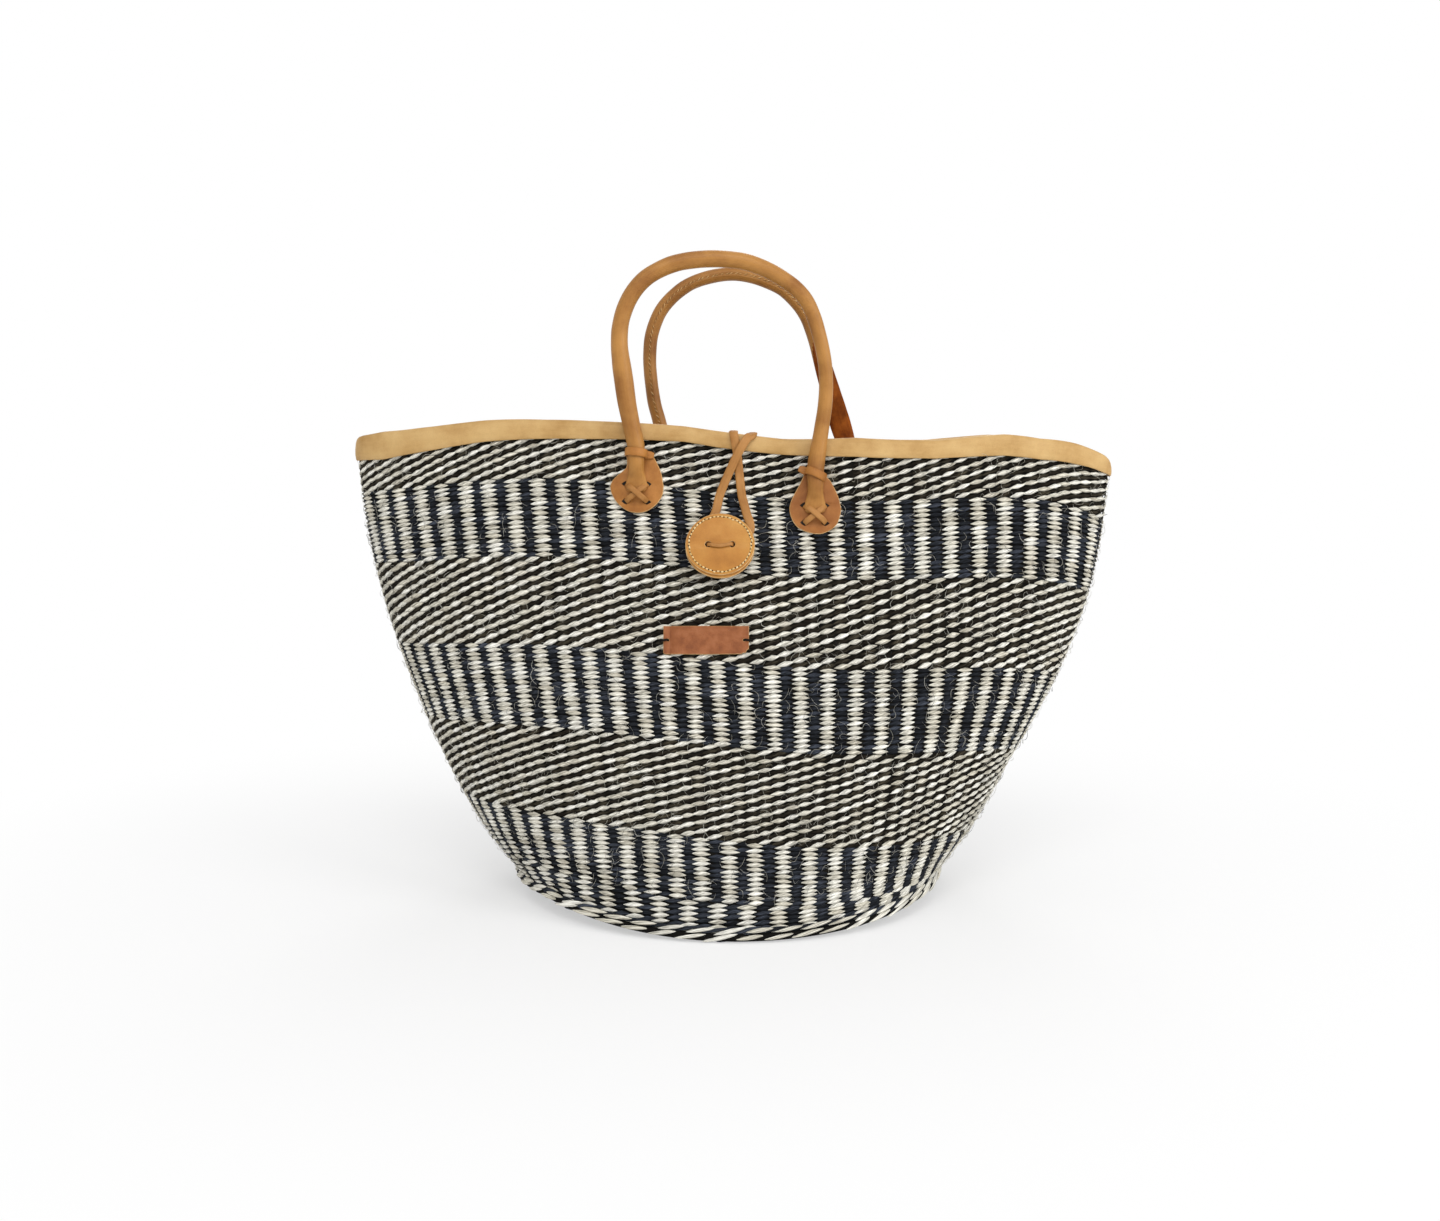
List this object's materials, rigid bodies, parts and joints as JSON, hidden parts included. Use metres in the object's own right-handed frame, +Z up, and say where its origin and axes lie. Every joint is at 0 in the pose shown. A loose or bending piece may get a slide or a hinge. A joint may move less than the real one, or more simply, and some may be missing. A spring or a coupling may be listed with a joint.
{
  "type": "straw tote",
  "caption": "Flat-bottomed basket bag twined from black and natural sisal, with a leather rim binding, rolled leather handles and a leather button with a lace loop.",
  "frame": {"origin": "middle of the flat round base, on the surface that the bag stands on", "axes": "+Z up, -Y towards the front with the button, +X to the right seen from the front, along the long side of the mouth"},
  "size_m": [0.5188, 0.299, 0.4357],
  "materials": {
    "woven_sisal": "weft-twined natural and black dyed sisal, matt, hairy",
    "rim_leather": "pale vegetable-tanned strip, folded and stitched, satin",
    "handle_leather": "vegetable-tanned hide rolled round a rope, satin with worn highlights",
    "patch_leather": "vegetable-tanned hide, satin, cut edges",
    "lace_leather": "cut lace, satin top and dull cut sides",
    "button_leather": "two stitched layers of vegetable-tanned hide, satin",
    "label_leather": "bare brown tab, dull",
    "rope": "twisted sisal rope, matt",
    "thread": "waxed dark thread"
  },
  "bodies": {
    "basket": {"basket_wall": "woven_sisal", "basket_base": "woven_sisal", "base_ridge": "woven_sisal", "rim_binding": "rim_leather", "front_left_patch": "patch_leather", "front_right_patch": "patch_leather", "rear_left_patch": "patch_leather", "rear_right_patch": "patch_leather", "front_left_lace": "lace_leather", "front_right_lace": "lace_leather", "rear_left_lace": "lace_leather", "rear_right_lace": "lace_leather", "front_left_handle_end": "handle_leather", "front_right_handle_end": "handle_leather", "rear_left_handle_end": "handle_leather", "rear_right_handle_end": "handle_leather", "button_lace": "lace_leather", "closure_anchor": "lace_leather", "label": "label_leather", "label_left_tie": "thread", "label_right_tie": "thread"},
    "front_handle": {"front_handle_cover": "handle_leather", "front_handle_core": "rope"},
    "rear_handle": {"rear_handle_cover": "handle_leather", "rear_handle_core": "rope"},
    "button": {"button_back": "button_leather", "button_face": "button_leather"},
    "closure_strands": {"closure_strand_left": "lace_leather", "closure_strand_right": "lace_leather"},
    "closure_loop": {"closure_loop": "lace_leather"}
  },
  "joints": [
    {"name": "front_handle_swing", "type": "hinge", "parent": "basket", "child": "front_handle", "pos_m": [-0.00604, -0.0637, 0.319], "axis": [0.9938, 0, -0.1108], "range_deg": [-28, 168]},
    {"name": "rear_handle_swing", "type": "hinge", "parent": "basket", "child": "rear_handle", "pos_m": [0.01158, 0.0637, 0.322], "axis": [-0.9999, 0, 0.0152], "range_deg": [-28, 168]},
    {"name": "button_tilt", "type": "hinge", "parent": "basket", "child": "button", "pos_m": [-0.00894, -0.06992, 0.24167], "axis": [1, 0.0076, 0], "range_deg": [0, 16]},
    {"name": "closure_swing", "type": "hinge", "parent": "basket", "child": "closure_strands", "pos_m": [0.0063, 0.0545, 0.3183], "axis": [-1, 0, 0], "range_deg": [0, 253], "deforming": ["closure_strand_left", "closure_strand_right"]},
    {"name": "closure_loop_flip", "type": "hinge", "parent": "closure_strands", "child": "closure_loop", "pos_m": [0.0063, -0.0545, 0.3183], "axis": [-1, 0, 0], "range_deg": [0, 90], "deforming": ["closure_loop"]}
  ]
}
